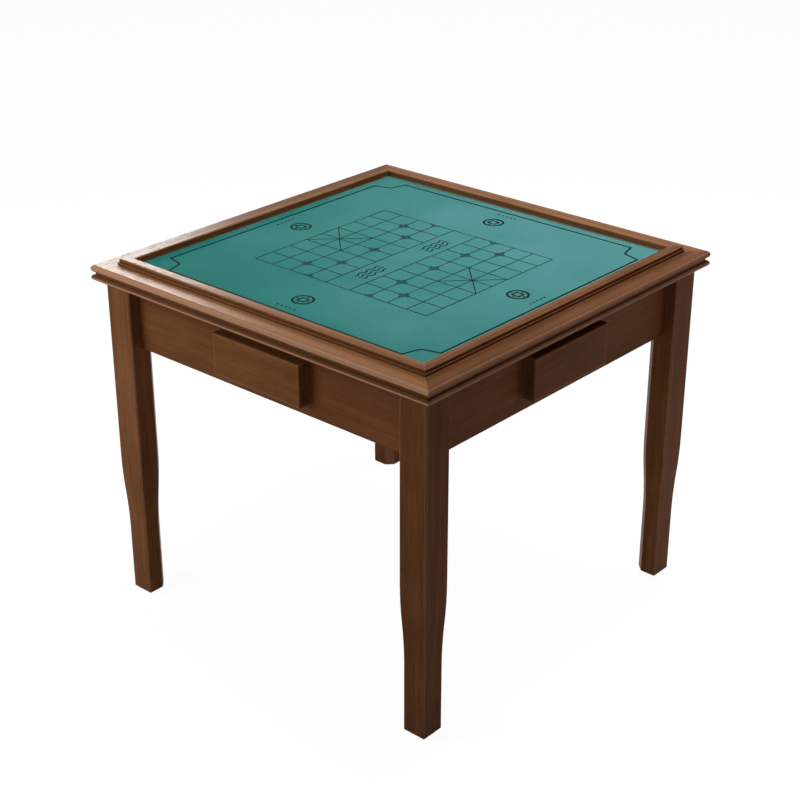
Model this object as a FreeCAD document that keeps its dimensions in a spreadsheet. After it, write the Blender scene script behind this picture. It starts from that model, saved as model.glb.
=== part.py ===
import FreeCAD, Part
import functools
import math
import os
import re
import Sketcher

# A square games table with a drawer in the middle of each side. A mitred, moulded top frame holds a
# felt-covered playing panel behind a raised rim. Four tapered legs are drawn into the apron frame by
# bolted corner brackets, and the drawers run on wooden strips between bearers under the panel.
# Millimetres, +Z up. The origin is on the floor under the middle of the table, and the front is -Y.

SIZES = {
    # Whole table
    "table_side": 880,
    "table_height": 760,
    # Raised rim round the playing surface, and the felt inside it
    "rim_margin": 41,
    "rim_width": 22,
    "rim_height": 12,
    "rim_round": 3,
    "rim_bead_width": 2.5,
    "rim_bead_height": 5,
    "felt_depth": 14,
    "felt_thick": 2,
    "panel_thick": 12,
    "panel_gap": 0.4,
    # Moulded edge of the top frame: a round nose, a narrow cove and a lower bead
    "lip_width": 24,
    "lip_thick": 16,
    "nose_thick": 14.5,
    "nose_swell": 5,
    "cove_depth": 1,
    "edge_step": 0.8,
    "bead_thick": 12.5,
    "bead_swell": 5,
    # Legs
    "leg_overhang": 20,
    "leg_width": 64,
    "leg_taper": 5.75,
    "taper_end": 150,
    "taper_length": 180,
    "leg_bevel": 3,
    "foot_bevel": 3,
    "leg_flat": 17,
    "glide_width": 28,
    "glide_thick": 3,
    "glide_pin": 3,
    "glide_pin_length": 14,
    # Apron boards
    "apron_setback": 26,
    "apron_thick": 20,
    "apron_under_front": 24,
    # Drawer fronts, which cover the openings in the aprons
    "front_width": 228,
    "front_height": 87,
    "front_thick": 25,
    "front_drop": 27,
    "front_overlap": 10,
    "front_round": 2.5,
    "front_gap": 0.3,
    # Drawer boxes
    "box_side_gap": 2,
    "box_lift": 2,
    "box_headroom": 6,
    "back_room": 22,
    "side_thick": 12,
    "back_thick": 12,
    "back_drop": 6,
    "bottom_thick": 5,
    "bottom_raise": 7,
    "bottom_groove": 5,
    "front_housing": 7,
    # Bearers and the strips that the drawers run on and under
    "bearer_thick": 18,
    "bearer_housing": 6,
    "strip_width": 12,
    "strip_height": 12,
    "run_gap": 0.3,
    "kicker_gap": 1.5,
    # Corner brackets, and the bolts that draw the legs in
    "bracket_thick": 2.5,
    "bracket_height": 64,
    "bracket_wing": 36,
    "bracket_stand_off": 19,
    "bolt_width": 8,
    "bolt_bite": 36,
    "bolt_spare": 4,
    "bolt_spacing": 34,
    "washer_width": 20,
    "washer_thick": 1.6,
    "nut_width": 13,
    "nut_thick": 6.5,
    # Angle clips that hold the top down on the aprons
    "clip_leg": 18,
    "clip_width": 20,
    "clip_thick": 2,
    # Screws. They, the pins and the small holes are drawn six-sided: there are many, out of sight
    "screw_width": 4,
    "screw_head": 8,
    "screw_head_thick": 2.4,
    "screw_bite": 10,
    "back_screw_bite": 20,
    "screw_spacing": 36,
    "hole_gap": 0.15,
}

# Places that follow from the sizes.
PLACES = {
    "half_side": "table_side / 2",
    "diagonal": "sqrt(2)",
    # Heights of the top
    "ledge_z": "table_height - rim_height",
    "felt_z": "table_height - felt_depth",
    "panel_z": "felt_z - felt_thick",
    "lip_z": "panel_z - panel_thick",
    "under_z": "lip_z - lip_thick",
    # Distances of the top's edges from the middle
    "rim_out": "half_side - rim_margin",
    "rim_in": "rim_out - rim_width",
    "lip_in": "rim_in - lip_width",
    "panel_half": "rim_in - panel_gap",
    "nose_in": "half_side - nose_swell",
    "bead_in": "half_side - bead_swell",
    "cove_out": "nose_in - edge_step",
    "nose_low": "ledge_z - nose_thick",
    "bead_high": "under_z + bead_thick",
    "cove_height": "nose_low - bead_high",
    # Legs
    "leg_out": "half_side - leg_overhang",
    "leg_in": "leg_out - leg_width",
    "leg_half": "leg_width / 2",
    "leg_axis": "leg_out - leg_half",
    "foot_half": "leg_half - leg_taper",
    "waist_half": "leg_half - leg_taper / 2",
    "taper_mid": "taper_end + taper_length / 2",
    "taper_start": "taper_end + taper_length",
    "taper_radius": "(taper_length ^ 2 + leg_taper ^ 2) / (4 * leg_taper)",
    # Drawer fronts, openings and aprons
    "front_top": "under_z - front_drop",
    "front_low": "front_top - front_height",
    "apron_out": "leg_out - apron_setback",
    "apron_in": "apron_out - apron_thick",
    "apron_z": "front_low - apron_under_front",
    "apron_mid": "(under_z + apron_z) / 2",
    "front_back": "apron_out + front_gap",
    "open_half": "front_width / 2 - front_overlap",
    "open_low": "front_low + front_overlap",
    "open_top": "front_top - front_overlap",
    # Drawer boxes
    "box_half": "open_half - box_side_gap",
    "box_low": "open_low + box_lift",
    "box_top": "open_top - box_headroom",
    "box_back": "bearer_out + back_room",
    "box_front": "front_back + front_housing",
    "side_in": "box_half - side_thick",
    "bottom_low": "box_low + bottom_raise",
    "bottom_top": "bottom_low + bottom_thick",
    "bottom_half": "side_in + bottom_groove",
    "back_top": "box_top - back_drop",
    "back_mid": "(bottom_top + back_top) / 2",
    # Bearers and strips
    "bearer_out": "open_half + bearer_thick",
    "strip_in": "open_half - strip_width",
    "runner_top": "box_low - run_gap",
    "bearer_low": "runner_top - strip_height",
    "kicker_low": "box_top + kicker_gap",
    "bearer_top": "kicker_low + strip_height",
    # Corner brackets, measured along the table's diagonal
    "flat_reach": "(2 * leg_in + leg_flat) / diagonal",
    "plate_reach": "flat_reach - bracket_stand_off",
    "plate_half": "apron_in * diagonal - plate_reach",
    "wing_reach": "plate_reach - bracket_wing / diagonal",
    "wing_half": "plate_half + bracket_wing / diagonal",
    "bend_half": "plate_half - bracket_thick * (diagonal - 1)",
    "nut_reach": "plate_reach - bracket_thick - washer_thick - nut_thick",
    "bolt_reach": "nut_reach - bolt_spare",
    "bolt_high": "apron_mid + bolt_spacing / 2",
    "bolt_deep": "apron_mid - bolt_spacing / 2",
    "wing_end": "(wing_reach - wing_half) / diagonal",
    "wing_mid": "wing_end + bracket_wing / 2",
    # Angle clips, midway between the bearers and the corner brackets
    "clip_place": "(bearer_out + wing_end) / 2",
    "clip_low": "under_z - clip_leg",
    "clip_in": "apron_in - clip_leg",
}

# A side piece is modelled facing +X and a corner piece at +X +Y, then turned about the table's axis.
SIDES = {"right": 0, "back": 90, "left": 180, "front": 270}
CORNERS = {"back_right": 0, "back_left": 90, "front_left": 180, "front_right": 270}

doc = FreeCAD.newDocument("games_table")
sizes = doc.addObject("Spreadsheet::Sheet", "sizes")
places = doc.addObject("Spreadsheet::Sheet", "places")


def formula(text):
    """A formula with its sizes and places read from their sheets."""
    def spell(word):
        name = word.group()
        if name in SIZES:
            return f"sizes.{name}"
        return f"places.{name}" if name in PLACES else name
    return re.sub(r"[a-z_]+", spell, text)


def fill(sheet, cells):
    """Name a row of the sheet for each cell, then fill it in."""
    for row, alias in enumerate(cells, start=1):
        sheet.set(f"A{row}", alias)
        sheet.setAlias(f"B{row}", alias)
    for row, content in enumerate(cells.values(), start=1):
        sheet.set(f"B{row}", str(content))
    doc.recompute()


fill(sizes, SIZES)
fill(places, {alias: "=" + formula(text).replace("places.", "") for alias, text in PLACES.items()})

pieces = []


@functools.cache
def number(text):
    return float(sizes.evalExpression(formula(text)))


def bind(thing, prop, text):
    thing.setExpression(prop, formula(text))


def new_body(label, turn=0):
    """An empty sub-part, turned about the table's axis."""
    body = doc.addObject("PartDesign::Body", label)
    body.Label = label
    body.Placement.Rotation = FreeCAD.Rotation(FreeCAD.Vector(0, 0, 1), turn)
    pieces.append(body)
    return body


def origin_feature(body, role):
    return next(feature for feature in body.Origin.OriginFeatures if feature.Role == role)


def arc_between(start, end, radius, way):
    """The short arc from start to end: way 1 runs anticlockwise and -1 clockwise."""
    chord = end - start
    rise = math.sqrt(max(radius ** 2 - chord.Length ** 2 / 4, 0))
    square = FreeCAD.Vector(-chord.y, chord.x, 0).normalize()
    centre = (start + end) / 2 + square * rise * way
    first, last = (start, end) if way > 0 else (end, start)
    angles = [math.atan2(point.y - centre.y, point.x - centre.x) for point in (first, last)]
    return Part.ArcOfCircle(Part.Circle(centre, FreeCAD.Vector(0, 0, 1), radius), *angles)


def pin_point(sketch, geometry, vertex, across, up):
    """Tie a point of the sketch to its two formulas."""
    for kind, text in (("DistanceX", across), ("DistanceY", up)):
        spot = Sketcher.Constraint(kind, -1, 1, geometry, vertex, number(text))
        index = sketch.addConstraint(spot)
        bind(sketch, f"Constraints[{index}]", text)


def draw_outline(sketch, corners):
    """A closed outline. A corner is (across, up), or (across, up, radius, way) at the end of an arc."""
    points = [FreeCAD.Vector(number(corner[0]), number(corner[1]), 0) for corner in corners]
    ends = []
    for index, corner in enumerate(corners):
        start, end = points[index - 1], points[index]
        if len(corner) == 2:
            ends.append((sketch.addGeometry(Part.LineSegment(start, end), False), 1, 2))
            continue
        radius, way = corner[2:]
        arc = sketch.addGeometry(arc_between(start, end, number(radius), way), False)
        ends.append((arc, 1, 2) if way > 0 else (arc, 2, 1))
        index_of_bend = sketch.addConstraint(Sketcher.Constraint("Radius", arc, number(radius)))
        bind(sketch, f"Constraints[{index_of_bend}]", radius)
    for index, corner in enumerate(corners):
        edge, _, edge_end = ends[index]
        following, following_start, _ = ends[(index + 1) % len(ends)]
        sketch.addConstraint(Sketcher.Constraint("Coincident", edge, edge_end, following, following_start))
        pin_point(sketch, edge, edge_end, *corner[:2])


def draw_circle(sketch, across, up, width):
    spot = FreeCAD.Vector(number(across), number(up), 0)
    ring = Part.Circle(spot, FreeCAD.Vector(0, 0, 1), number(width) / 2)
    circle = sketch.addGeometry(ring, False)
    index = sketch.addConstraint(Sketcher.Constraint("Diameter", circle, number(width)))
    bind(sketch, f"Constraints[{index}]", width)
    pin_point(sketch, circle, 3, across, up)


def extrude(body, plane, shapes, start, length, turn=0, cut=False):
    """Pad or cut shapes along a plane's normal, from start. Turn swings a YZ plane about +Z.

    A shape is an outline's list of corners, or the (across, up, width) of a circle.
    """
    sketch = body.newObject("Sketcher::SketchObject", f"{body.Label}_outline")
    sketch.AttachmentSupport = [(origin_feature(body, plane), "")]
    sketch.MapMode = "FlatFace"
    sketch.AttachmentOffset = FreeCAD.Placement(
        FreeCAD.Vector(0, 0, 0), FreeCAD.Rotation(FreeCAD.Vector(0, 1, 0), turn))
    if turn:
        bind(sketch, "AttachmentOffset.Base.x", f"({start}) * {math.sin(math.radians(turn))}")
    bind(sketch, "AttachmentOffset.Base.z", f"({start}) * {math.cos(math.radians(turn))}")
    for shape in shapes:
        if isinstance(shape, list):
            draw_outline(sketch, shape)
        else:
            draw_circle(sketch, *shape)
    feature = body.newObject("PartDesign::Pocket" if cut else "PartDesign::Pad", f"{body.Label}_feature")
    feature.Profile = sketch
    feature.Reversed = cut
    bind(feature, "Length", length)
    doc.recompute()
    return feature


def cut(body, plane, shapes, start, length, turn=0):
    before = body.Shape.Volume
    feature = extrude(body, plane, shapes, start, length, turn, cut=True)
    if body.Shape.Volume >= before:
        raise RuntimeError(f"a cut in {body.Label} removes nothing")
    return feature


def rectangle(low_across, high_across, low_up, high_up):
    return [(low_across, low_up), (high_across, low_up), (high_across, high_up), (low_across, high_up)]


def both_ways(low, high):
    """A span and its mirror image across zero."""
    return [(low, high), (f"-({high})", f"-({low})")]


def board(body, x_span, y_span, z_span):
    """Pad a rectangular board into the body."""
    height = f"{z_span[1]} - ({z_span[0]})"
    return extrude(body, "XY_Plane", [rectangle(*x_span, *y_span)], z_span[0], height)


def housing(body, x_span, y_span, z_span):
    """Cut a rectangular recess into the body."""
    height = f"{z_span[1]} - ({z_span[0]})"
    return cut(body, "XY_Plane", [rectangle(*x_span, *y_span)], z_span[0], height)


def dress(body, kind, size, wanted):
    """Round or bevel the edges of the body that the test picks."""
    base = body.Tip
    edges = [f"Edge{index}" for index, edge in enumerate(base.Shape.Edges, start=1) if wanted(edge)]
    feature = body.newObject(f"PartDesign::{kind}", f"{body.Label}_{kind.lower()}")
    feature.Base = (base, edges)
    bind(feature, "Radius" if kind == "Fillet" else "Size", size)
    doc.recompute()
    return feature


def on_four_sides(body, features):
    """Repeat features at each quarter turn about the table's axis."""
    pattern = body.newObject("PartDesign::PolarPattern", f"{body.Label}_pattern")
    pattern.Originals = features
    pattern.Axis = (origin_feature(body, "Z_Axis"), [""])
    pattern.Angle = 360
    pattern.Occurrences = 4
    body.Tip = pattern
    doc.recompute()


def swell_radius(chord, swell):
    """Radius of an arc from its chord and how far it stands out."""
    return f"(({chord}) ^ 2 / 4 + {swell} ^ 2) / (2 * {swell})"


# Top frame: four mitred rails with a moulded edge, and an inner lip that carries the panel

RAIL_PROFILE = [
    ("lip_in", "under_z"),
    ("bead_in", "under_z"),
    ("bead_in", "bead_high", swell_radius("bead_thick", "bead_swell"), 1),
    ("cove_out", "bead_high"),
    ("cove_out", "nose_low", swell_radius("cove_height", "cove_depth"), -1),
    ("nose_in", "nose_low"),
    ("nose_in", "ledge_z", swell_radius("nose_thick", "nose_swell"), 1),
    ("rim_in", "ledge_z"),
    ("rim_in", "lip_z"),
    ("lip_in", "lip_z"),
]

# The rim strip: rounded on top, with a small step along its outer foot
RIM_PROFILE = [
    ("rim_in", "ledge_z"),
    ("rim_out + rim_bead_width", "ledge_z"),
    ("rim_out + rim_bead_width", "ledge_z + rim_bead_height - rim_bead_width / 2"),
    ("rim_out + rim_bead_width / 2", "ledge_z + rim_bead_height", "rim_bead_width / 2", 1),
    ("rim_out", "ledge_z + rim_bead_height"),
    ("rim_out", "table_height - rim_round"),
    ("rim_out - rim_round", "table_height", "rim_round", 1),
    ("rim_in + rim_round", "table_height"),
    ("rim_in", "table_height - rim_round", "rim_round", 1),
]


def mitred_strip(label, turn, profile):
    """A length of moulding along one side, with both ends cut at 45 degrees."""
    body = new_body(label, turn)
    extrude(body, "XZ_Plane", [profile], "-half_side", "table_side")
    waste = [[("half_side / 2", f"{way}half_side / 2"), ("table_side", f"{way}table_side"),
              ("half_side / 2", f"{way}table_side")] for way in ("", "-")]
    cut(body, "XY_Plane", waste, "under_z - lip_thick", "table_height")
    return body


def circles(spots, width):
    return [(*spot, width) for spot in spots]


def hexagons(spots, width):
    """Six-sided outlines about the spots, measured across their flats."""
    points = [math.radians(60 * corner + 30) for corner in range(6)]
    return [[(f"{across} + ({width}) / sqrt(3) * {math.cos(point):.6f}",
              f"{up} + ({width}) / sqrt(3) * {math.sin(point):.6f}") for point in points]
            for across, up in spots]


SCREW_HOLE = "screw_width + 2 * hole_gap"
CLIP_SCREW_X = "apron_in - clip_leg / 2"
UP_SPOTS = [(CLIP_SCREW_X, "clip_place"), (CLIP_SCREW_X, "-clip_place")]

for side, turn in SIDES.items():
    rail = mitred_strip(f"top_rail_{side}", turn, RAIL_PROFILE)
    cut(rail, "XY_Plane", hexagons(UP_SPOTS, SCREW_HOLE), "under_z", "screw_bite")
    mitred_strip(f"rim_strip_{side}", turn, RIM_PROFILE)

# Playing surface

PANEL_SPAN = ("-panel_half", "panel_half")
board(new_body("play_panel"), PANEL_SPAN, PANEL_SPAN, ("lip_z", "panel_z"))
board(new_body("felt_cloth"), PANEL_SPAN, PANEL_SPAN, ("panel_z", "felt_z"))

# Legs: square at the top, drawn in on all four faces by a gentle double curve, straight at the foot.
# A wide flat runs down the inner corner.

BOLT_SPOTS = [("0", "bolt_high"), ("0", "bolt_deep")]
BOLT_HOLE = "bolt_width + 2 * hole_gap"


def leg_edge(way):
    """One edge of the leg's outline, from the foot up: way is the sign of its side."""
    bend = 1 if way else -1
    return [
        (f"{way}foot_half", "glide_thick"),
        (f"{way}foot_half", "taper_end"),
        (f"{way}waist_half", "taper_mid", "taper_radius", bend),
        (f"{way}leg_half", "taper_start", "taper_radius", -bend),
        (f"{way}leg_half", "under_z"),
    ]


def mirrored(corners):
    """The same edge walked from the top down, with its arcs turned round."""
    arcs = [corner[2:] for corner in corners]
    walked = []
    for index in range(len(corners) - 1, -1, -1):
        came_by = arcs[index + 1] if index + 1 < len(corners) else ()
        turned = (came_by[0], -came_by[1]) if came_by else ()
        walked.append((*corners[index][:2], *turned))
    return walked


def is_upright(edge):
    box = edge.BoundBox
    return box.ZLength > max(box.XLength, box.YLength) + 1


def is_inner(edge):
    """Whether the edge is on the leg's corner that faces the middle of the table."""
    return edge.BoundBox.XMax < 0 and edge.BoundBox.YMax < 0


def leg(label, turn):
    body = new_body(label, turn)
    signs = {0: (1, 1), 90: (-1, 1), 180: (-1, -1), 270: (1, -1)}[turn]
    for axis, sign in zip("xy", signs):
        bind(body, f"Placement.Base.{axis}", f"{sign} * leg_axis")
    right = leg_edge("")
    extrude(body, "XZ_Plane", [mirrored(leg_edge("-")) + right], "-leg_half", "leg_width")
    waste = [[("leg_width", "glide_thick")] + right + [("leg_width", "under_z")],
             [("-leg_width", "glide_thick")] + leg_edge("-") + [("-leg_width", "under_z")]]
    cut(body, "YZ_Plane", waste, "-leg_half", "leg_width")
    dress(body, "Chamfer", "leg_flat", lambda edge: is_upright(edge) and is_inner(edge))
    dress(body, "Chamfer", "leg_bevel", lambda edge: is_upright(edge) and not is_inner(edge))
    foot = number("glide_thick")
    dress(body, "Chamfer", "min(foot_bevel; leg_bevel * 1.5)",
          lambda edge: abs(edge.BoundBox.ZMax - foot) < 0.001)
    # Two holes square to the flat take the hanger bolts
    cut(body, "YZ_Plane", hexagons(BOLT_SPOTS, BOLT_HOLE), "-leg_width",
        "leg_width + bolt_bite - (leg_width - leg_flat) / diagonal", turn=45)
    cut(body, "XY_Plane", hexagons([("0", "0")], "glide_pin + 2 * hole_gap"),
        "glide_thick", "glide_pin_length")


for corner, turn in CORNERS.items():
    leg(f"leg_{corner}", turn)

glides = new_body("foot_glides")
GLIDE_SPOT = [("leg_axis", "leg_axis")]
disc = extrude(glides, "XY_Plane", circles(GLIDE_SPOT, "glide_width"), "0", "glide_thick")
pin = extrude(glides, "XY_Plane", hexagons(GLIDE_SPOT, "glide_pin"), "glide_thick", "glide_pin_length")
on_four_sides(glides, [disc, pin])

# Aprons, each with its drawer opening and the housings of the bearers' ends

BEARER_HEIGHT = ("bearer_low", "bearer_top")
SCREW_HEIGHTS = ("apron_mid + screw_spacing / 2", "apron_mid - screw_spacing / 2")
CLIP_SCREW_Z = "under_z - clip_leg / 2"
WING_SPOTS = [(place, height) for place in ("wing_mid", "-wing_mid") for height in SCREW_HEIGHTS]
CLIP_SPOTS = [("clip_place", CLIP_SCREW_Z), ("-clip_place", CLIP_SCREW_Z)]

for side, turn in SIDES.items():
    apron = new_body(f"apron_{side}", turn)
    board(apron, ("apron_in", "apron_out"), ("-leg_in", "leg_in"), ("apron_z", "under_z"))
    housing(apron, ("apron_in", "apron_out"), ("-open_half", "open_half"), ("open_low", "open_top"))
    for span in both_ways("open_half", "bearer_out"):
        housing(apron, ("apron_in", "apron_in + bearer_housing"), span, BEARER_HEIGHT)
    cut(apron, "YZ_Plane", hexagons(WING_SPOTS + CLIP_SPOTS, SCREW_HOLE), "apron_in", "screw_bite")

# Bearers: two long ones from apron to apron, and four short ones let into them

for side, span in zip(("right", "left"), both_ways("open_half", "bearer_out")):
    long_bearer = new_body(f"long_bearer_{side}")
    board(long_bearer, span, ("-apron_in - bearer_housing", "apron_in + bearer_housing"), BEARER_HEIGHT)
    outer = ("bearer_out - bearer_housing", "bearer_out")
    recess = outer if side == "right" else both_ways(*outer)[1]
    for short_span in both_ways("open_half", "bearer_out"):
        housing(long_bearer, recess, short_span, BEARER_HEIGHT)

for side in ("right", "left"):
    for end, span in zip(("back", "front"), both_ways("open_half", "bearer_out")):
        short_bearer = new_body(f"short_bearer_{side}_{end}")
        reach = ("bearer_out - bearer_housing", "apron_in + bearer_housing")
        board(short_bearer, reach if side == "right" else both_ways(*reach)[1], span, BEARER_HEIGHT)

for side, turn in SIDES.items():
    strips = new_body(f"drawer_strips_{side}", turn)
    for heights in (("bearer_low", "runner_top"), ("kicker_low", "bearer_top")):
        for span in both_ways("strip_in", "open_half"):
            board(strips, ("bearer_out", "apron_in"), span, heights)

# Drawers: a thick overlaid front, with the box housed into its back

SIDE_SPANS = both_ways("side_in", "box_half")
SCREW_X = "box_back + back_thick / 2"
BACK_SCREW_GAP = "(back_top - bottom_top) / 4"
BACK_SPOTS = [(SCREW_X, f"back_mid + {BACK_SCREW_GAP}"), (SCREW_X, f"back_mid - {BACK_SCREW_GAP}")]


def across_drawer(body, maker, width, start, length):
    """Screws or holes along the drawer's width at its back, from both sides inwards."""
    for turn, way in ((90, "-"), (-90, "")):
        spots = hexagons([(f"{way}({spot[0]})", spot[1]) for spot in BACK_SPOTS], width)
        maker(body, "YZ_Plane", spots, f"-({start})", length, turn=turn)


for side, turn in SIDES.items():
    front = new_body(f"drawer_{side}_front", turn)
    board(front, ("front_back", "front_back + front_thick"), ("-front_width / 2", "front_width / 2"),
          ("front_low", "front_top"))
    face = number("front_back + front_thick")
    dress(front, "Fillet", "front_round", lambda edge: abs(edge.BoundBox.XMin - face) < 0.001)
    for span in SIDE_SPANS:
        housing(front, ("front_back", "box_front"), span, ("box_low", "box_top"))
    housing(front, ("front_back", "box_front"), ("-side_in", "side_in"), ("bottom_low", "bottom_top"))

    for hand, span in zip(("left", "right"), SIDE_SPANS):
        wall = new_body(f"drawer_{side}_side_{hand}", turn)
        board(wall, ("box_back", "box_front"), span, ("box_low", "box_top"))
        groove = ("side_in", "bottom_half") if hand == "left" else ("-bottom_half", "-side_in")
        housing(wall, ("box_back", "box_front"), groove, ("bottom_low", "bottom_top"))
        swing, way = (90, "-") if hand == "left" else (-90, "")
        spots = [(f"{way}({spot[0]})", spot[1]) for spot in BACK_SPOTS]
        cut(wall, "YZ_Plane", hexagons(spots, SCREW_HOLE), "side_in", "side_thick", turn=swing)
        cut(wall, "YZ_Plane", hexagons(spots, "screw_head + 2 * hole_gap"), "box_half - screw_head_thick",
            "screw_head_thick", turn=swing)

    back = new_body(f"drawer_{side}_back", turn)
    board(back, ("box_back", "box_back + back_thick"), ("-side_in", "side_in"), ("bottom_top", "back_top"))
    across_drawer(back, cut, SCREW_HOLE, "side_in", "back_screw_bite")

    bottom = new_body(f"drawer_{side}_bottom", turn)
    board(bottom, ("box_back", "box_front"), ("-bottom_half", "bottom_half"), ("bottom_low", "bottom_top"))

    screws = new_body(f"drawer_{side}_screws", turn)
    across_drawer(screws, extrude, "screw_head", "box_half", "screw_head_thick")
    across_drawer(screws, extrude, "screw_width", "box_half - screw_head_thick",
                  "side_thick - screw_head_thick + back_screw_bite")

# Corner brackets: bent plates across the corners, with wings along the aprons

brackets = new_body("corner_brackets", 45)
WING_TIP = ("wing_reach - bracket_thick / diagonal", "wing_half - bracket_thick / diagonal")
bent_plate = [
    ("plate_reach", "-plate_half"),
    ("plate_reach", "plate_half"),
    ("wing_reach", "wing_half"),
    WING_TIP,
    ("plate_reach - bracket_thick", "bend_half"),
    ("plate_reach - bracket_thick", "-bend_half"),
    (WING_TIP[0], f"-({WING_TIP[1]})"),
    ("wing_reach", "-wing_half"),
]
plates = extrude(brackets, "XY_Plane", [bent_plate], "apron_mid - bracket_height / 2", "bracket_height")
bolt_holes = cut(brackets, "YZ_Plane", hexagons(BOLT_SPOTS, BOLT_HOLE),
                 "plate_reach - bracket_thick", "bracket_thick")
wing_holes = [
    cut(brackets, "YZ_Plane", hexagons([(place, height) for height in SCREW_HEIGHTS], SCREW_HOLE),
        "apron_in - bracket_thick", "bracket_thick", turn=swing)
    for place, swing in (("wing_mid", -45), ("-wing_mid", 45))]
on_four_sides(brackets, [plates, bolt_holes, *wing_holes])

bolts = new_body("hanger_bolts", 45)
studs = extrude(bolts, "YZ_Plane", circles(BOLT_SPOTS, "bolt_width"), "bolt_reach",
                "flat_reach + bolt_bite - bolt_reach")
on_four_sides(bolts, [studs])

washers = new_body("hanger_washers", 45)
discs = extrude(washers, "YZ_Plane", circles(BOLT_SPOTS, "washer_width"), "nut_reach + nut_thick",
                "washer_thick")
disc_holes = cut(washers, "YZ_Plane", hexagons(BOLT_SPOTS, BOLT_HOLE),
                 "nut_reach + nut_thick", "washer_thick")
on_four_sides(washers, [discs, disc_holes])

nuts = new_body("hanger_nuts", 45)
blocks = extrude(nuts, "YZ_Plane", hexagons(BOLT_SPOTS, "nut_width"), "nut_reach", "nut_thick")
block_holes = cut(nuts, "YZ_Plane", hexagons(BOLT_SPOTS, BOLT_HOLE), "nut_reach", "nut_thick")
on_four_sides(nuts, [blocks, block_holes])

bracket_screws = new_body("bracket_screws")
heads = extrude(bracket_screws, "YZ_Plane", hexagons(WING_SPOTS, "screw_head"),
                "apron_in - bracket_thick - screw_head_thick", "screw_head_thick")
shanks = extrude(bracket_screws, "YZ_Plane", hexagons(WING_SPOTS, "screw_width"), "apron_in - bracket_thick",
                 "bracket_thick + screw_bite")
on_four_sides(bracket_screws, [heads, shanks])

# Angle clips under the top, two to a side

clips = new_body("top_clips")
clip_features = []
for span in both_ways("clip_place - clip_width / 2", "clip_place + clip_width / 2"):
    clip_features.append(board(clips, ("apron_in - clip_thick", "apron_in"), span, ("clip_low", "under_z")))
    clip_features.append(board(clips, ("clip_in", "apron_in - clip_thick"), span,
                               ("under_z - clip_thick", "under_z")))
clip_features.append(cut(clips, "YZ_Plane", hexagons(CLIP_SPOTS, SCREW_HOLE), "apron_in - clip_thick",
                         "clip_thick"))
clip_features.append(cut(clips, "XY_Plane", hexagons(UP_SPOTS, SCREW_HOLE), "under_z - clip_thick",
                         "clip_thick"))
on_four_sides(clips, clip_features)

clip_screws = new_body("clip_screws")
on_four_sides(clip_screws, [
    extrude(clip_screws, "YZ_Plane", hexagons(CLIP_SPOTS, "screw_head"),
            "apron_in - clip_thick - screw_head_thick", "screw_head_thick"),
    extrude(clip_screws, "YZ_Plane", hexagons(CLIP_SPOTS, "screw_width"), "apron_in - clip_thick",
            "clip_thick + screw_bite"),
    extrude(clip_screws, "XY_Plane", hexagons(UP_SPOTS, "screw_head"),
            "under_z - clip_thick - screw_head_thick", "screw_head_thick"),
    extrude(clip_screws, "XY_Plane", hexagons(UP_SPOTS, "screw_width"), "under_z - clip_thick",
            "clip_thick + screw_bite"),
])

doc.recompute()
failed = [thing.Label for thing in doc.Objects if {"Invalid", "Error"} & set(thing.State)]
if failed:
    raise RuntimeError(f"failed: {failed}")
for piece in pieces:
    if piece.Shape.isNull() or not piece.Shape.isValid():
        raise RuntimeError(f"bad shape: {piece.Label}")

os.makedirs("parts", exist_ok=True)
for piece in pieces:
    piece.Shape.exportStep(f"parts/{piece.Label}.step")
    print(f"{piece.Label}: {len(piece.Shape.Solids)} solids, {piece.Shape.Volume / 1000:.1f} cm3")
print(f"{len(pieces)} sub-parts")
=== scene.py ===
# %% [markdown]
# A games table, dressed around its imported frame
#
# The table is a square of stained hardwood with a cloth-covered well on top and a drawer in each side.
# The frame already holds every board, screw and drawer at its real size, so this lesson never moves
# or reshapes one, and only the cloth is made anew. It adds what a frame can't say: stain, lacquer and
# grain, the print on the cloth, plain metal and plastic, and a quiet studio to look at it all in.

# %% The frame
import math

import bmesh
import bpy
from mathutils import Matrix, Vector


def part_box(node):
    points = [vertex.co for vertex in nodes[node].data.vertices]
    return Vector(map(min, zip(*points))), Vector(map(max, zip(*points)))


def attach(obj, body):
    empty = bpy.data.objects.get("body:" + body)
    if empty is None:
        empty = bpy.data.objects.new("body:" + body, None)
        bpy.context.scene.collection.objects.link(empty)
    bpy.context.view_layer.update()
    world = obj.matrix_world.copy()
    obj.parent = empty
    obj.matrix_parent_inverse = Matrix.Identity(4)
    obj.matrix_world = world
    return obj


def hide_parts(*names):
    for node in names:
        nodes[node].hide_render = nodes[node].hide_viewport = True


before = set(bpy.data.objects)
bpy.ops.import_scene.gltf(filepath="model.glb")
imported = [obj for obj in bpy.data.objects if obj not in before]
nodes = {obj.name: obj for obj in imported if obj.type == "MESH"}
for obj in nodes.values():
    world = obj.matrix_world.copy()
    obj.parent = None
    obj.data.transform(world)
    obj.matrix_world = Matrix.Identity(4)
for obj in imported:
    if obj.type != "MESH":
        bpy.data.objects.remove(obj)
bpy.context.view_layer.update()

# %% [markdown]
# The camera stands off one corner and looks down on the table top, with a long lens. A long lens keeps
# the four legs nearly parallel, as in a catalogue picture. The place is given as a compass bearing, a
# height above the horizon and a distance from one aimed-at point, which is easier to adjust than
# three coordinates and three angles.

# %% Camera
SENSOR_MM = 36.0
IMAGE_PIXELS = 800
FOCAL_PIXELS = 1661.3
CAMERA_BEARING = math.radians(41.353)
CAMERA_HEIGHT = math.radians(25.661)
CAMERA_DISTANCE = 3.5200
CAMERA_AIM = Vector((-0.0410, 0.0350, 0.407))

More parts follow.
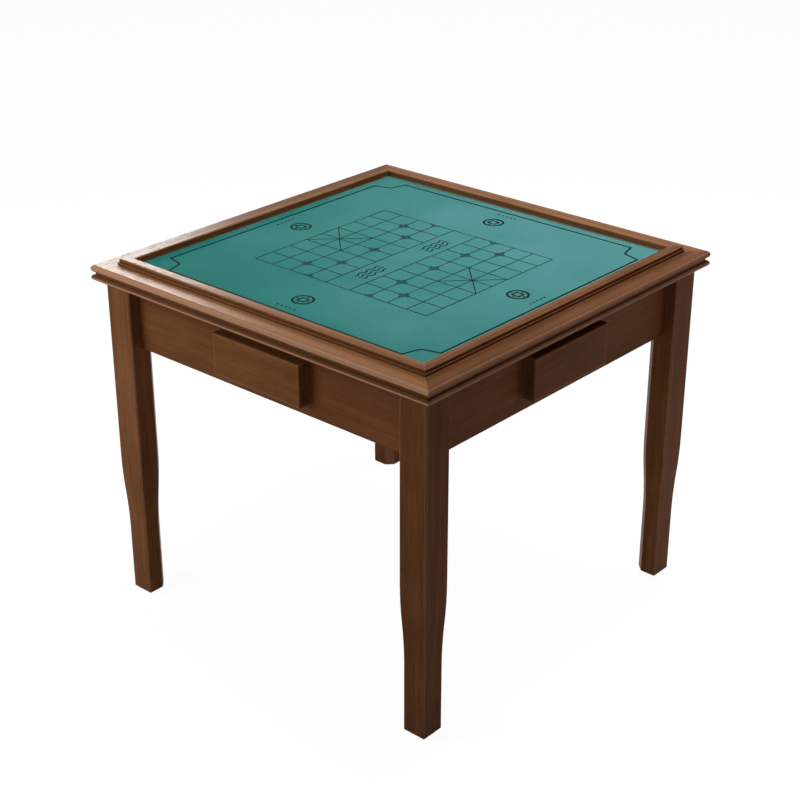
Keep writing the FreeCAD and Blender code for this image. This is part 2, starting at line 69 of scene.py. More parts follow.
camera_back = Vector((
    math.sin(CAMERA_BEARING) * math.cos(CAMERA_HEIGHT),
    -math.cos(CAMERA_BEARING) * math.cos(CAMERA_HEIGHT),
    math.sin(CAMERA_HEIGHT),
))
scene = bpy.context.scene
lens = bpy.data.cameras.new("studio_camera")
lens.sensor_width = SENSOR_MM
lens.lens = FOCAL_PIXELS / IMAGE_PIXELS * SENSOR_MM
camera = bpy.data.objects.new("studio_camera", lens)
camera.location = CAMERA_AIM + camera_back * CAMERA_DISTANCE
camera.rotation_euler = camera_back.to_track_quat("Z", "Y").to_euler()
scene.collection.objects.link(camera)
scene.camera = camera
scene.view_settings.view_transform = "Standard"
print("camera: lens", round(lens.lens, 1), "mm at", [round(v, 2) for v in camera.location])

# %% [markdown]
# Finishes are sums. Grain, pores and wear are each a number at every point of a surface, and a finish
# adds and multiplies them. Wiring forty Math nodes by hand hides that, so one small class wraps a
# socket and lets Python's own operators add the nodes. Every other kind of node comes from one method,
# which sets the node's settings first and then the values and links of its sockets.

# %% Sockets that can be added up
class Wire:
    """A socket of a node tree. Sums on it add Math nodes, so that a finish reads as a formula."""

    def __init__(self, tree, socket=None):
        self.tree = tree
        self.socket = socket

    def node(self, kind, settings=None, sockets=None, output=0):
        """Add a node of any kind and give back one of its outputs."""
        made = self.tree.nodes.new("ShaderNode" + kind)
        for name, value in (settings or {}).items():
            if name == "stops":
                self.set_stops(made.color_ramp.elements, value)
            else:
                setattr(made, name, value)
        for name, value in (sockets or {}).items():
            if isinstance(value, Wire):
                self.tree.links.new(value.socket, made.inputs[name])
            else:
                made.inputs[name].default_value = value
        return Wire(self.tree, made.outputs[output] if made.outputs else None)

    @staticmethod
    def set_stops(elements, stops):
        """Give a ramp its colours, each at a place from 0 to 1."""
        while len(elements) < len(stops):
            elements.new(1.0)
        for element, (position, colour) in zip(elements, stops):
            element.position = position
            element.color = (*colour, 1.0)

    def math(self, operation, *values):
        """A Math node on values or sockets."""
        return self.node("Math", {"operation": operation}, dict(enumerate(values)))

    def __add__(self, other):
        return self.math("ADD", self, other)

    def __radd__(self, other):
        return self.math("ADD", other, self)

    def __sub__(self, other):
        return self.math("SUBTRACT", self, other)

    def __rsub__(self, other):
        return self.math("SUBTRACT", other, self)

    def __mul__(self, other):
        return self.math("MULTIPLY", self, other)

    def __rmul__(self, other):
        return self.math("MULTIPLY", other, self)

    def __truediv__(self, other):
        return self.math("DIVIDE", self, other)

    def __rtruediv__(self, other):
        return self.math("DIVIDE", other, self)

    def __abs__(self):
        return self.math("ABSOLUTE", self)

    def step(self, low, high):
        """0 below low, 1 above high and a soft step between. With low above high it falls instead."""
        sockets = {"Value": self, "From Min": low, "From Max": high}
        return self.node("MapRange", {"interpolation_type": "SMOOTHSTEP"}, sockets)

    def stretched(self, scale, shift=(0.0, 0.0, 0.0)):
        """A place on the surface, scaled along each axis and then moved."""
        return self.node("VectorMath", {"operation": "MULTIPLY_ADD"}, {0: self, 1: scale, 2: shift})

    def noise(self, scale, detail=2.0, rough=0.5, twist=0.0):
        """Soft noise from 0 to 1 at this place, with about scale patches in a metre."""
        sockets = {"Vector": self, "Scale": scale, "Detail": detail}
        sockets.update({"Roughness": rough, "Distortion": twist})
        return self.node("TexNoise", {}, sockets)

    def axes(self):
        """The three parts of a place or a direction, as numbers."""
        split = self.node("SeparateXYZ", {}, {0: self}).socket.node
        return [Wire(self.tree, part) for part in split.outputs]

    def tint(self, share, colour):
        """This colour, mixed towards another by a share."""
        return self.node("Mix", {"data_type": "RGBA"}, {0: share, 6: self, 7: colour}, output=2)

    def ramp(self, *stops):
        """A colour for each value, from stops of (value, colour)."""
        return self.node("ValToRGB", {"stops": stops}, {0: self})


# %% [markdown]
# A finish of the table starts from the place on a piece, in metres, and ends in one shader. Boards
# could be unwrapped to flat pictures first, but a formula of the place needs no unwrapping, and the
# grain keeps its real size on every board.

# %% First and last nodes of a finish
def new_finish(name):
    """An empty material, and the place on the piece that its formulas start from."""
    material = bpy.data.materials.new(name)
    material.use_nodes = True
    material.node_tree.nodes.clear()
    return material, Wire(material.node_tree).node("TexCoord", output="Object")


def close_finish(material, sockets, bump, depth):
    """End a material in one Principled shader, with a bump whose depth is in metres."""
    start = Wire(material.node_tree)
    sockets["Normal"] = start.node("Bump", {}, {"Height": bump, "Distance": depth})
    skin = start.node("BsdfPrincipled", {}, sockets)
    start.node("OutputMaterial", {}, {"Surface": skin})
    print("finish:", material.name, "with", len(material.node_tree.nodes), "nodes")
    return material


# %% [markdown]
# The light is plain and soft. A faint even sky fills the shadows, a lamp in front lights that side more
# than the others, a weak warm one fills the right side, and a third hangs over the table and lights
# the top. A window beyond the left side is only there to be mirrored in the lacquer, so it gives no
# plain light. One big lamp would be simpler, but every side would look alike under it. A ray from the
# camera finds the sky white, and a ray that only carries light finds it faint.

# %% Studio light
SKY_LIGHT = 0.06
LAMPS = {
    "front_lamp": {
        "place": (-1.3, -2.0, 1.20), "aim": (-0.2, -0.4, 0.5), "size": (1.4, 1.4), "power": 24.5},
    "side_lamp": {
        "place": (2.4, 1.6, 0.70), "aim": (0.4, 0.1, 0.5), "size": (0.8, 1.0), "power": 6.2,
        "colour": (1.0, 0.80, 0.70)},
    "top_lamp": {
        "place": (0.1, 0.5, 3.0), "aim": (0.0, 0.0, 0.75), "size": (0.9, 1.4), "power": 61.5},
    "window": {
        "place": (-2.5, 1.12, 1.90), "aim": (-0.35, -0.35, 0.75), "size": (0.8, 1.0), "power": 97.0},
}
WHITE = (1.0, 1.0, 1.0, 1.0)


def seen_directly(start):
    """1 for a ray from the camera, a mirror or clear glass, and 0 for a ray that carries light."""
    path = start.node("LightPath").socket.node
    kinds = ("Camera", "Glossy", "Transmission")
    camera_ray, mirror_ray, clear_ray = [Wire(start.tree, path.outputs[f"Is {kind} Ray"]) for kind in kinds]
    seen = camera_ray + mirror_ray + clear_ray
    return seen.math("MINIMUM", seen, 1.0)


def aimed_lamp(name, place, aim, size, power, colour=WHITE[:3]):
    """A soft rectangular lamp that looks from one place at another."""
    light = bpy.data.lights.new(name, "AREA")
    light.color = colour
    light.shape = "RECTANGLE"
    light.size, light.size_y = size
    light.energy = power
    lamp = bpy.data.objects.new(name, light)
    lamp.location = place
    lamp.rotation_euler = (Vector(place) - Vector(aim)).to_track_quat("Z", "Y").to_euler()
    scene.collection.objects.link(lamp)
    return lamp


world = bpy.data.worlds.new("studio_sky")
world.use_nodes = True
world.node_tree.nodes.clear()
sky = Wire(world.node_tree)
sky_level = seen_directly(sky) * (1.0 - SKY_LIGHT) + SKY_LIGHT
sky_glow = sky.node("Background", {}, {"Color": WHITE, "Strength": sky_level})
sky.node("OutputWorld", {}, {"Surface": sky_glow})
scene.world = world
lamps = {name: aimed_lamp(name, **choices) for name, choices in LAMPS.items()}
lamps["window"].visible_diffuse = False
print("light: sky", SKY_LIGHT, "and", ", ".join(lamps))

# %% [markdown]
# The floor is one wide pale sheet. A white backdrop could be made by lighting it harder, but that would
# bleach the table too. Instead the floor answers a ray from the camera with white, and a share of
# plain shading keeps the shadow. A ray that only carries light finds a floor that is a little duller
# and warmer, so that the undersides stay dark.

# %% Studio floor
FLOOR_HALF = 9.0
FLOOR_PALE = (0.86, 0.86, 0.86, 1.0)
FLOOR_DULL = (0.84, 0.78, 0.73, 1.0)
# White times its share is a little under 1, and the plain shading adds the rest
FLOOR_WHITE = 1.14
FLOOR_WHITE_SHARE = 0.84

floor_mesh = bpy.data.meshes.new("studio_floor")
corners = [(x * FLOOR_HALF, y * FLOOR_HALF, 0.0) for x, y in ((-1, -1), (1, -1), (1, 1), (-1, 1))]
floor_mesh.from_pydata(corners, [], [(0, 1, 2, 3)])
floor = bpy.data.objects.new("studio_floor", floor_mesh)
scene.collection.objects.link(floor)
floor_finish = bpy.data.materials.new("pale_floor")
floor_finish.use_nodes = True
floor_finish.node_tree.nodes.clear()
ground = Wire(floor_finish.node_tree)
seen = seen_directly(ground)
ground_shades = {0: seen, 6: FLOOR_DULL, 7: FLOOR_PALE}
ground_colour = ground.node("Mix", {"data_type": "RGBA"}, ground_shades, output=2)
matt = ground.node("BsdfDiffuse", {}, {"Color": ground_colour})
white = ground.node("Emission", {}, {"Color": WHITE, "Strength": FLOOR_WHITE})
ground_mix = ground.node("MixShader", {}, {0: seen * FLOOR_WHITE_SHARE, 1: matt, 2: white})
ground.node("OutputMaterial", {}, {"Surface": ground_mix})
floor_mesh.materials.append(floor_finish)
print("floor:", 2 * FLOOR_HALF, "m wide")

# %% [markdown]
# The show wood is a pale hardwood, stained walnut brown and lacquered to a satin. Stain sinks into the
# soft early growth and the open pores, so the figure runs from red-brown to dark in streaks that follow
# the board. A photograph of wood could be wrapped round each board, but it would run the wrong way at
# the mitres and on end grain. Noise in three dimensions, drawn out along the board, is a block of
# timber that every board is sawn from, so the end of a leg shows end grain by itself.

# %% Timber
GRAIN_AXES = {"x": 0, "y": 1, "z": 2}
GRAIN_PULL = 0.045
PORE_PULL = 0.018
GROWTH = {"scale": 34.0, "detail": 3.0, "rough": 0.55, "twist": 0.6}
STREAK = {"scale": 190.0, "detail": 3.0, "rough": 0.6, "twist": 0.2}
HAIR = {"scale": 760.0, "detail": 2.0, "rough": 0.6}
BLOTCH = {"scale": 5.5, "detail": 2.0}
PORE = {"scale": 1500.0, "detail": 1.0}
PORE_STEP = (0.60, 0.70)
GROWTH_SHARE = 0.45
STREAK_SHARE = 0.32
HAIR_SHARE = 0.18
BLOTCH_SHARE = 0.35
FIGURE_MIDDLE = (GROWTH_SHARE + STREAK_SHARE + HAIR_SHARE + BLOTCH_SHARE) / 2


def drawn_out(along, pull):
    """A scale that draws noise out along one axis."""
    scale = [1.0, 1.0, 1.0]
    scale[GRAIN_AXES[along]] = pull
    return scale


def timber(place, along, shift):
    """The figure of a block of timber, with 0 as its middle tone, and its streaks, hairs and pores."""
    board = place.stretched(drawn_out(along, GRAIN_PULL), shift)
    fibre = place.stretched(drawn_out(along, PORE_PULL), shift)
    growth = board.noise(**GROWTH)
    streak = board.noise(**STREAK)
    hair = fibre.noise(**HAIR)
    blotch = place.stretched((1.0, 1.0, 1.0), shift).noise(**BLOTCH)
    pores = fibre.noise(**PORE).step(*PORE_STEP)
    figure = growth * GROWTH_SHARE + streak * STREAK_SHARE + hair * HAIR_SHARE + blotch * BLOTCH_SHARE
    return figure - FIGURE_MIDDLE, streak, hair, pores


# %% [markdown]
# Shade is painted darker into the stain in the hollows of a moulding, along the foot of the rim and under
# the top, and the stain is rubbed thin on rounds and edges, where highlights are painted paler as well.
# Both could be painted on each board by hand, but they follow from the shape, so they are worked out
# from it. A hollow lies between two heights, a round is told by the way its surface faces, and at an
# edge two faces of the board's box are near.

# %% Where stain is rubbed thin and highlights are painted
# The product of a normal's two level parts, which is 0.5 halfway between two sides
DIAGONAL = (0.30, 0.48)
# Heights of the normal on an eased upper edge
EASED = (0.30, 0.60, 0.90, 0.98)
# How far a rubbed edge with its painted highlight reaches over its faces, in metres
EDGE_RUB_AND_HIGHLIGHT = 0.0055


def rubbed_rounds(facing, worn_and_highlit):
    """1 on upright faces that look between two sides, and on worn rounds, told by the way they face.

    There wear and a painted highlight make the stain paler. The height of the normal says where a round is
    worn and highlit: from, fully from, fully to and to."""
    nx, ny, nz = facing
    begins, full, still_full, ends = worn_and_highlit
    return abs(nx * ny).step(*DIAGONAL) + nz.step(begins, full) * nz.step(ends, still_full)


def rubbed_edges(x, y, z, box):
    """1 along the edges of a box or of its mirror images across the table, and 0 away from them.

    There wear and a painted highlight make the stain paler. The depth under the nearest two faces of the
    box is small only at an edge."""
    low, high = box
    a, b, c = [v.math("MINIMUM", v - low[i], high[i] - v) for i, v in enumerate((abs(x), abs(y), z))]
    deepest = a.math("MAXIMUM", a, b.math("MAXIMUM", b, c))
    return (a + b + c - deepest).step(EDGE_RUB_AND_HIGHLIGHT, EDGE_RUB_AND_HIGHLIGHT / 2)


# %% Where shade is painted, and the seams
# Height of the normal on a level face
LEVEL = (0.90, 0.98)
# Distances in metres, from the rim and from a mitre, where the painted shade on the ledge and the seam's
# dark line end and where they are full
LEDGE_SHADE = (0.022, 0.009)
SEAM = (0.0006, 0.00024)
RIM_EDGE = 0.0008
rim_low, rim_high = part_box("rim_strip_right")
RIM_MIDDLE = (rim_low.x + rim_high.x) / 2
RIM_OUTER = rim_high.x
print("rim: from", round(rim_low.x, 4), "to", round(RIM_OUTER, 4), "m from the middle of the table")


def rim_reach(x, y):
    """How far out a place lies, counted square to its side, and 1 outside the rim's middle line."""
    reach = x.math("MAXIMUM", abs(x), abs(y))
    return reach, reach.step(RIM_MIDDLE - RIM_EDGE, RIM_MIDDLE + RIM_EDGE)


def ledge_shade(reach, outside, nz):
    """1 on the level ledge close to the outer foot of the rim, where shade is painted."""
    near_rim = reach.step(*(RIM_OUTER + away for away in LEDGE_SHADE))
    return near_rim * outside * nz.step(*LEVEL)


def mitre_seam(x, y):
    """1 along the hair line where two mitred boards meet."""
    return abs(abs(x) - abs(y)).step(*SEAM)


# %% [markdown]
# The stain itself is three tones of one brown, with two more: a pale one where it is rubbed thin and for
# painted highlights, and a dark one where it pools and for painted shade.
# A single brown with a dark overlay would be quicker, but a stain turns redder as it gets deeper.
# The lacquer is thin and satin, so it gives a weak gloss that is a little duller over the pores.

# %% Walnut stain
STAIN_DARK = (0.090, 0.0310, 0.0105)
STAIN_MID = (0.165, 0.0640, 0.0235)
STAIN_LIGHT = (0.255, 0.1100, 0.0450)
STAIN_TONES = ((0.32, STAIN_DARK), (0.50, STAIN_MID), (0.70, STAIN_LIGHT))
MIDDLE_TONE = 0.50
STAIN_RUBBED_AND_HIGHLIGHT = (0.560, 0.3100, 0.1900, 1.0)
POOLED_STAIN_AND_SHADE = (0.040, 0.0145, 0.0060, 1.0)
PORE_STAIN = 0.45
LEDGE_PAINTED_SHADE = 0.36
SEAM_STAIN = 0.40
USUAL_WEAR = 0.15
LACQUER_TINT = (1.0, 0.72, 0.52, 1.0)
LACQUER_ROUGH = 0.36
STREAK_GLOSS = 0.10
PORE_ROUGH = 0.15
HAIR_RELIEF = 0.5
GRAIN_DEPTH = 0.00010


def walnut(name, along, shift, liveliness, tone_and_light_lift=0.0, painted_shade_bands=(), worn_and_highlit=EASED, wear_and_highlight=USUAL_WEAR,
           mitred=False, box=None):
    """Stained wood with its grain along one axis.

    A lift shifts the tone of the board, on the front and back boards as painted light and on the front
    right leg as painted shade. A band of painted shade is a span of height, the width of its soft edge and
    the share of shade painted in it."""
    material, place = new_finish(name)
    figure, streak, hair, pores = timber(place, along, shift)
    tone = figure * liveliness + (MIDDLE_TONE + tone_and_light_lift)
    colour = tone.ramp(*STAIN_TONES).tint(pores * PORE_STAIN, POOLED_STAIN_AND_SHADE)
    x, y, z = place.axes()
    facing = place.node("NewGeometry", output="Normal").axes()
    worn_and_highlit_mask = rubbed_rounds(facing, worn_and_highlit)
    if box:
        worn_and_highlit_mask = worn_and_highlit_mask.math("MAXIMUM", worn_and_highlit_mask, rubbed_edges(x, y, z, box))
    reach, outside = rim_reach(x, y)
    # Painted shade in bands of height
    for low, high, edge, shade_share in painted_shade_bands:
        painted_shade = z.step(low - edge, low) * z.step(high + edge, high) * outside
        colour = colour.tint(painted_shade * shade_share, POOLED_STAIN_AND_SHADE)
        worn_and_highlit_mask = worn_and_highlit_mask * (1.0 - painted_shade)
    # Wear, and on rounds and edges a painted highlight, make the stain paler
    colour = colour.tint(worn_and_highlit_mask * wear_and_highlight, STAIN_RUBBED_AND_HIGHLIGHT)
    if mitred:
        # Painted shade on the ledge near the rim's foot; the seam is a real dark joint
        colour = colour.tint(ledge_shade(reach, outside, facing[2]) * LEDGE_PAINTED_SHADE, POOLED_STAIN_AND_SHADE)
        colour = colour.tint(mitre_seam(x, y) * SEAM_STAIN, POOLED_STAIN_AND_SHADE)
    sockets = {
        "Base Color": colour,
        "Roughness": LACQUER_ROUGH - streak * STREAK_GLOSS + pores * PORE_ROUGH,
        "Specular IOR Level": 0.02,
        "Specular Tint": LACQUER_TINT,
    }
    return close_finish(material, sockets, hair * HAIR_RELIEF - pores, GRAIN_DEPTH)


# %% [markdown]
# No two boards take a stain alike. Here each kind of board has its own liveliness, some are worn more
# than others, and the legs differ in tone. Most boards that run from left to right are also painted
# paler than those that run from front to back, as painted light for the brighter front, and the noses
# of those rails get a stronger painted highlight. One finish for all of them would be shorter, but the
# table would look cast in one piece. The heights of the bands of painted shade come from the boards' boxes.

# %% Bands of painted shade on the boards
# The painted shade in the cove: its lower edge over the rail's underside, and its upper edge under the
# rail's top
COVE_LOW = 0.00775
COVE_HIGH = 0.01276
COVE_FADE = 0.0025
COVE_SHADE = 0.42
# The rim's step over the rail, and the heights of the bands of painted shade on its wall and at its foot
RIM_STEP = 0.005
RIM_WALL = 0.0025
RIM_FOOT = 0.001
RIM_SHADE = 0.40
# How far the painted shadow under the top reaches down an apron, and over which height it fades
UNDER_TOP = 0.026
UNDER_TOP_FADE = 0.045
UNDER_TOP_SHADOW = 0.25
rail_low, rail_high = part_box("top_rail_front")
apron_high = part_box("apron_front")[1]
rim_ledge = rail_high.z + RIM_STEP
cove = (rail_low.z + COVE_LOW, rail_high.z - COVE_HIGH, COVE_FADE, COVE_SHADE)
rim_wall_shade = (rim_ledge, rim_ledge + RIM_WALL, RIM_EDGE, RIM_SHADE)
rim_foot_shade = (rail_high.z, rail_high.z + RIM_FOOT, RIM_EDGE, RIM_SHADE)
under_top_shadow = (apron_high.z - UNDER_TOP, apron_high.z, UNDER_TOP_FADE, UNDER_TOP_SHADOW)
print("cove: from", round(cove[0], 4), "to", round(cove[1], 4), "m over the floor")

# %% Walnut on the boards
LENGTHWISE = {"front": "x", "back": "x", "left": "y", "right": "y"}
BOARDS = {
    "top_rail_{}": {
        "shift": (0.4, 0.4, 0.2), "liveliness": 0.6, "worn_and_highlit": (-0.70, -0.20, 0.62, 0.95), "mitred": True},
    "rim_strip_{}": {
        "shift": (0.3, 0.2, 0.5), "liveliness": 1.0, "painted_shade_bands": [rim_wall_shade, rim_foot_shade], "mitred": True},
    "apron_{}": {"shift": (0.71, 0.43, 0.29), "liveliness": 0.55},
    "drawer_{}_front": {"shift": (0.27, 0.83, 0.47), "liveliness": 0.60, "wear_and_highlight": 0.10},
}
# Boards running from left to right get painted light in their lift, a stronger painted highlight on the
# rail noses, and the painted shade in the cove and under the top
WAYS = {
    "top_rail_{}": {
        "x": {"tone_and_light_lift": 0.20, "painted_shade_bands": [cove], "wear_and_highlight": 0.75},
        "y": {"tone_and_light_lift": -0.05, "wear_and_highlight": 0.40}},
    "rim_strip_{}": {"x": {"tone_and_light_lift": 0.13}, "y": {"tone_and_light_lift": 0.03}},
    "apron_{}": {"x": {"painted_shade_bands": [under_top_shadow]}, "y": {}},
    "drawer_{}_front": {
        "x": {"tone_and_light_lift": 0.04, "box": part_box("drawer_back_front")},
        "y": {"box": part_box("drawer_right_front")}},
}


def dress(name, material):
    """Put a finish on a node of the frame, in each of its slots."""
    for slot in nodes[name].material_slots:
        slot.material = material


for pattern, choices in BOARDS.items():
    for along, own in WAYS[pattern].items():
        finish = walnut("walnut_" + pattern.format(along), along, **choices, **own)
        for side, way in LENGTHWISE.items():
            if way == along:
                dress(pattern.format(side), finish)

# %% [markdown]
# The legs are sawn with their grain upright, and hands and shoes rub their edges; the paler edges are
# also a painted highlight. Each could be given a box of its own, but edges are found in mirror images
# too, so the box of one leg serves all four. It is drawn up a little past the leg's upper end, which
# lies under the top and is never rubbed. The front right leg is painted darker, as painted shade.

# %% Walnut on the legs
# Tones of the legs; the lower tone of the front right leg is painted shade
LEG_LIFTS_AND_SHADE = {"back_right": 0.03, "back_left": 0.0, "front_left": 0.03, "front_right": -0.08}
LEG_WOOD = {"shift": (0.13, 0.37, 0.61), "liveliness": 0.80, "wear_and_highlight": 0.26}
leg_low, leg_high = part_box("leg_back_right")
leg_high.z += EDGE_RUB_AND_HIGHLIGHT
for corner, tone_and_light_lift in LEG_LIFTS_AND_SHADE.items():
    leg = f"leg_{corner}"
    dress(leg, walnut("walnut_" + leg, "z", tone_and_light_lift=tone_and_light_lift, box=(leg_low, leg_high), **LEG_WOOD))

# %% [markdown]
# Inside, nothing is stained. Drawer sides, runners and bearers are sawn from a pale rubberwood and only
# sealed, and the drawer bottoms and the panel under the cloth are thin plywood, whose edges show their
# plies. The same timber formula would do, but pale wood has fine brown flecks where walnut has pores,
# so it gets a formula of its own.

# %% Pale wood and plywood
PALE_LIGHT = (0.60, 0.42, 0.24)
PALE_MID = (0.50, 0.33, 0.17)
PALE_DARK = (0.38, 0.23, 0.11)
PALE_TONES = ((0.32, PALE_DARK), (0.50, PALE_MID), (0.68, PALE_LIGHT))
PALE_PULL = 0.05
PALE_GROWTH = {"scale": 40.0, "detail": 3.0, "rough": 0.6, "twist": 0.5}
PALE_STREAK = {"scale": 260.0, "detail": 2.0}
PALE_GROWTH_SHARE = 0.6
PALE_STREAK_SHARE = 0.4
SEALED_ROUGH = 0.52
SEALED_STREAK = 0.14
FLECK = (0.20, 0.10, 0.045, 1.0)
FLECK_PULL = 0.03
FLECK_SPREAD = {"scale": 900.0, "detail": 1.0}
FLECK_STEP = (0.64, 0.72)
FLECK_SHARE = 0.45
PLY_THICKNESS = 0.0011
PLY_STEP = (0.35, 0.65)
PLY_SHARE = 0.6
UPRIGHT = (0.5, 0.3)


def pale_wood(name, along, shift, plies=False):
    """Bare pale wood with its grain along one axis, or plywood with its plies on upright edges."""
    material, place = new_finish(name)
    board = place.stretched(drawn_out(along, PALE_PULL), shift)
    growth = board.noise(**PALE_GROWTH)
    streak = board.noise(**PALE_STREAK)
    figure = growth * PALE_GROWTH_SHARE + streak * PALE_STREAK_SHARE
    fleck = place.stretched(drawn_out(along, FLECK_PULL), shift).noise(**FLECK_SPREAD).step(*FLECK_STEP)
    colour = figure.ramp(*PALE_TONES).tint(fleck * FLECK_SHARE, FLECK)
    if plies:
        height = place.axes()[2] / PLY_THICKNESS
        layer = height.math("PINGPONG", height, 1.0).step(*PLY_STEP)
        upright = abs(place.node("NewGeometry", output="Normal").axes()[2]).step(*UPRIGHT)
        colour = colour.tint(upright * layer * PLY_SHARE, FLECK)
    sockets = {
        "Base Color": colour,
        "Roughness": SEALED_ROUGH + streak * SEALED_STREAK,
        "Specular IOR Level": 0.35,
    }
    return close_finish(material, sockets, streak - fleck, GRAIN_DEPTH)


# %% Pale wood and plywood on the drawers and inside
pale = {along: pale_wood(f"pale_wood_{along}", along, (0.5, 0.1, 0.7)) for along in ("x", "y")}
ply = {along: pale_wood(f"plywood_{along}", along, (0.2, 0.9, 0.4), plies=True) for along in ("x", "y")}
CROSSWISE = {"x": "y", "y": "x"}
for side, way in LENGTHWISE.items():
    dress(f"drawer_{side}_back", pale[way])
    dress(f"drawer_{side}_bottom", ply[way])
    for hand in ("left", "right"):
        dress(f"drawer_{side}_side_{hand}", pale[CROSSWISE[way]])
    dress(f"drawer_strips_{side}", pale[CROSSWISE[way]])
for hand in ("right", "left"):
    dress(f"long_bearer_{hand}", pale["y"])
    for end in ("back", "front"):
        dress(f"short_bearer_{hand}_{end}", pale["x"])
dress("play_panel", ply["x"])

# %% [markdown]
# Brackets, bolts, clips and screws are zinc-plated steel. A plain grey metal would do from afar, but it
# looks like chrome close up. Zinc is a dull bluish white that never mirrors sharply, so a faint cloud
# of crystals and fine scratches break up its colour and its gloss.

# %% Zinc
ZINC_BRIGHT = (0.60, 0.61, 0.62)
ZINC_DULL = (0.38, 0.39, 0.41)
ZINC_TONES = ((0.30, ZINC_DULL), (0.70, ZINC_BRIGHT))
CLOUD = {"scale": 160.0, "detail": 3.0, "rough": 0.6}
SCRATCH_PULL = (1.0, 0.04, 1.0)
SCRATCH = {"scale": 2600.0, "detail": 1.0}
SCRATCH_STEP = (0.62, 0.70)
SCRATCH_SHADE = 0.12
ZINC_ROUGH = 0.34
CLOUD_ROUGH = 0.22
SCRATCH_GLOSS = 0.08
ZINC_DEPTH = 0.00004

zinc, place = new_finish("zinc_steel")
cloud = place.noise(**CLOUD)
scratch = place.stretched(SCRATCH_PULL).noise(**SCRATCH).step(*SCRATCH_STEP)
zinc_sockets = {
    "Base Color": (cloud - scratch * SCRATCH_SHADE).ramp(*ZINC_TONES),
    "Metallic": 1.0,
    "Roughness": ZINC_ROUGH + cloud * CLOUD_ROUGH - scratch * SCRATCH_GLOSS,
}
close_finish(zinc, zinc_sockets, cloud - scratch, ZINC_DEPTH)
steel_nodes = ["corner_brackets", "hanger_bolts", "hanger_washers", "hanger_nuts", "bracket_screws"]
steel_nodes += ["top_clips", "clip_screws"] + [f"drawer_{side}_screws" for side in LENGTHWISE]
for name in steel_nodes:
    dress(name, zinc)
print("metal:", len(steel_nodes), "nodes")

# %% [markdown]
# The feet stand on brown nylon glides. The mould leaves their skin finely pebbled, and the floor scuffs
# it. A smooth plastic would be enough for so small a piece, but pebbles and scuffs take only two noises.

# %% Nylon
NYLON = (0.030, 0.020, 0.015)
NYLON_SCUFFED = (0.075, 0.058, 0.046)
PEBBLE = {"scale": 2400.0, "detail": 1.0}
SCUFF = {"scale": 220.0, "detail": 3.0, "rough": 0.7}
SCUFF_STEP = (0.52, 0.70)
NYLON_ROUGH = 0.42
SCUFF_ROUGH = 0.25
PEBBLE_DEPTH = 0.00008

nylon, place = new_finish("glide_nylon")
pebble = place.noise(**PEBBLE)
scuff = place.noise(**SCUFF).step(*SCUFF_STEP)
nylon_sockets = {
    "Base Color": scuff.ramp((0.0, NYLON), (1.0, NYLON_SCUFFED)),
    "Roughness": NYLON_ROUGH + scuff * SCUFF_ROUGH,
}
close_finish(nylon, nylon_sockets, pebble, PEBBLE_DEPTH)
dress("foot_glides", nylon)

# %% [markdown]
# The playing cloth is a thin felted mat, cut to the well and glued flat on its panel. It could be one
# rectangle, but a cut edge is never square: the nap rolls over it, and glued cloth is never quite even.
# So the top is a net of small faces that sinks here and there by less than a hair, and the outline of
# the net is carried down over the roll and the cut edge in a few more rings.

# %% New pieces
def piece(name, mesh, body):
    """A new object from a finished bmesh, riding on a body of the frame."""
    data = bpy.data.meshes.new(name)
    mesh.to_mesh(data)
    mesh.free()
    made = bpy.data.objects.new(name, data)
    scene.collection.objects.link(made)
    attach(made, body)
    return made


def bridge(mesh, below, above):
    """Join two rings of points with a band of faces."""
    count = len(below)
    for i in range(count):
        after = (i + 1) % count
        mesh.faces.new((below[i], below[after], above[after], above[i]))


# %% Felt mat
felt_low, felt_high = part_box("felt_cloth")
FELT_HALF = felt_high.x
FELT_TOP = felt_high.z
FELT_THICK = felt_high.z - felt_low.z
EDGE_ROLL = 0.0012
ROLL_STEPS = 4
NET = 36
SINK = 0.00006
# Radians in a metre, and where each swell starts
SWELL_X = 23.0
SWELL_Y = 19.0
START_X = 1.3
START_Y = 0.4


def sunk(x, y):
    """How far the glued cloth has sunk at a place, smoothly and by less than a hair."""
    return SINK * (math.sin(x * SWELL_X + START_X) * math.sin(y * SWELL_Y + START_Y) - 1.0)


mat = bmesh.new()
flat_half = FELT_HALF - EDGE_ROLL
spots = [(2 * i / NET - 1) * flat_half for i in range(NET + 1)]
net = [[mat.verts.new((x, y, FELT_TOP + sunk(x, y))) for x in spots] for y in spots]
for row, next_row in zip(net, net[1:]):
    for i in range(NET):
        mat.faces.new((row[i], row[i + 1], next_row[i + 1], next_row[i]))
outline = net[0][:-1] + [row[-1] for row in net[:-1]]
outline += net[-1][:0:-1] + [row[0] for row in net[:0:-1]]
above = outline
for i in range(1, ROLL_STEPS + 2):
    turn = min(math.pi / 2 * i / ROLL_STEPS, math.pi / 2)
    reach = (flat_half + EDGE_ROLL * math.sin(turn)) / flat_half
    drop = FELT_THICK if i > ROLL_STEPS else EDGE_ROLL * (1 - math.cos(turn))
    below = [mat.verts.new((v.co.x * reach, v.co.y * reach, FELT_TOP - drop)) for v in outline]
    bridge(mat, below, above)
    above = below
mat.faces.new(reversed(above))
for face in mat.faces:
    face.smooth = True
felt = piece("felt_mat", mat, "table")
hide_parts("felt_cloth")
print("felt:", round(2 * FELT_HALF, 3), "m square,", len(felt.data.polygons), "faces")

# %% [markdown]
# Felt has no weave, so the usual pattern of threads would make it look like canvas. Its colour is a mix
# of fibres instead, which three sizes of noise give. Light and sheen are painted in as well: the colour
# grows paler from one corner of the mat to the other. A weak sheen stands for the loose fibre ends.

